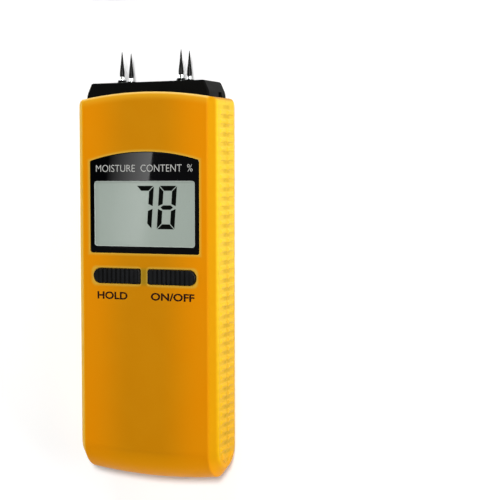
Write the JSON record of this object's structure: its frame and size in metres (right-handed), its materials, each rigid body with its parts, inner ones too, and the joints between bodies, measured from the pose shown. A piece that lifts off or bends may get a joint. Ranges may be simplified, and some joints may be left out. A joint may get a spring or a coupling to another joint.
{
  "type": "moisture meter",
  "caption": "Hand-held four-pin moisture meter with an arched display, two grooved keys, ribbed sides, a slide-off battery door and a pull-off pin cap lying beside it.",
  "frame": {"origin": "centre of the flat back face that the meter lies on", "axes": "+X to the meter's right, +Y along its length towards the pins, +Z out of the display face"},
  "size_m": [0.066, 0.2404, 0.0267],
  "materials": {
    "case_plastic": "fine satin moulding",
    "head_plastic": "satin",
    "cap_plastic": "satin",
    "pin_steel": "turned, bright",
    "collar_chrome": "polished",
    "brass": "machined",
    "bezel_gloss": "polished",
    "clear_window": "clear, polished",
    "lcd_grey": "reflective display glass",
    "frame_plastic": "moulded",
    "elastomer": "layered",
    "switch_plastic": "moulded",
    "plunger_plastic": "moulded",
    "key_plastic": "satin, grooved",
    "board_green": "solder mask",
    "screw_steel": "zinc plated",
    "chip_black": "moulded",
    "crystal_can": "drawn can",
    "trim_blue": "moulded",
    "capacitor_sleeve": "shrink sleeve",
    "resistor_ceramic": "fired",
    "battery_jacket": "printed jacket",
    "stud_metal": "nickel plated",
    "snap_plastic": "moulded",
    "lead_red": "insulated wire",
    "lead_black": "insulated wire",
    "foam": "open-cell foam"
  },
  "bodies": {
    "meter": {"front_shell": "case_plastic", "back_shell": "case_plastic", "head_block": "head_plastic", "probe_pin_front_left": "pin_steel", "probe_pin_front_right": "pin_steel", "probe_pin_rear_left": "pin_steel", "probe_pin_rear_right": "pin_steel", "pin_collars": "collar_chrome", "pin_inserts": "brass", "pin_terminals": "brass", "contact_strips": "brass", "bezel_panel": "bezel_gloss", "display_window": "clear_window", "lcd_glass": "lcd_grey", "lcd_frame": "frame_plastic", "elastomer_strips": "elastomer", "hold_switch": "switch_plastic", "power_switch": "switch_plastic", "main_board": "board_green", "board_screws": "screw_steel", "case_screws": "screw_steel", "main_chip": "chip_black", "op_amps": "chip_black", "crystal": "crystal_can", "trim_pots": "trim_blue", "capacitors": "capacitor_sleeve", "resistors": "resistor_ceramic", "battery_can": "battery_jacket", "battery_studs": "stud_metal", "battery_snap": "snap_plastic", "battery_lead_red": "lead_red", "battery_lead_black": "lead_black"},
    "cap": {"pin_cap": "cap_plastic"},
    "hold_key": {"hold_key": "key_plastic", "hold_plunger": "plunger_plastic"},
    "power_key": {"power_key": "key_plastic", "power_plunger": "plunger_plastic"},
    "door": {"battery_door": "case_plastic", "battery_foam": "foam"}
  },
  "joints": [
    {"name": "cap_slide", "type": "slide", "parent": "meter", "child": "cap", "axis": [0, 1, 0], "range_m": [-0.0535, 0]},
    {"name": "hold_press", "type": "slide", "parent": "meter", "child": "hold_key", "axis": [0, 0, -1], "range_m": [0, 0.0006], "stiffness_N_per_m": 900},
    {"name": "power_press", "type": "slide", "parent": "meter", "child": "power_key", "axis": [0, 0, -1], "range_m": [0, 0.0006], "stiffness_N_per_m": 900},
    {"name": "door_slide", "type": "slide", "parent": "meter", "child": "door", "axis": [0, -1, 0], "range_m": [0, 0.09]}
  ]
}
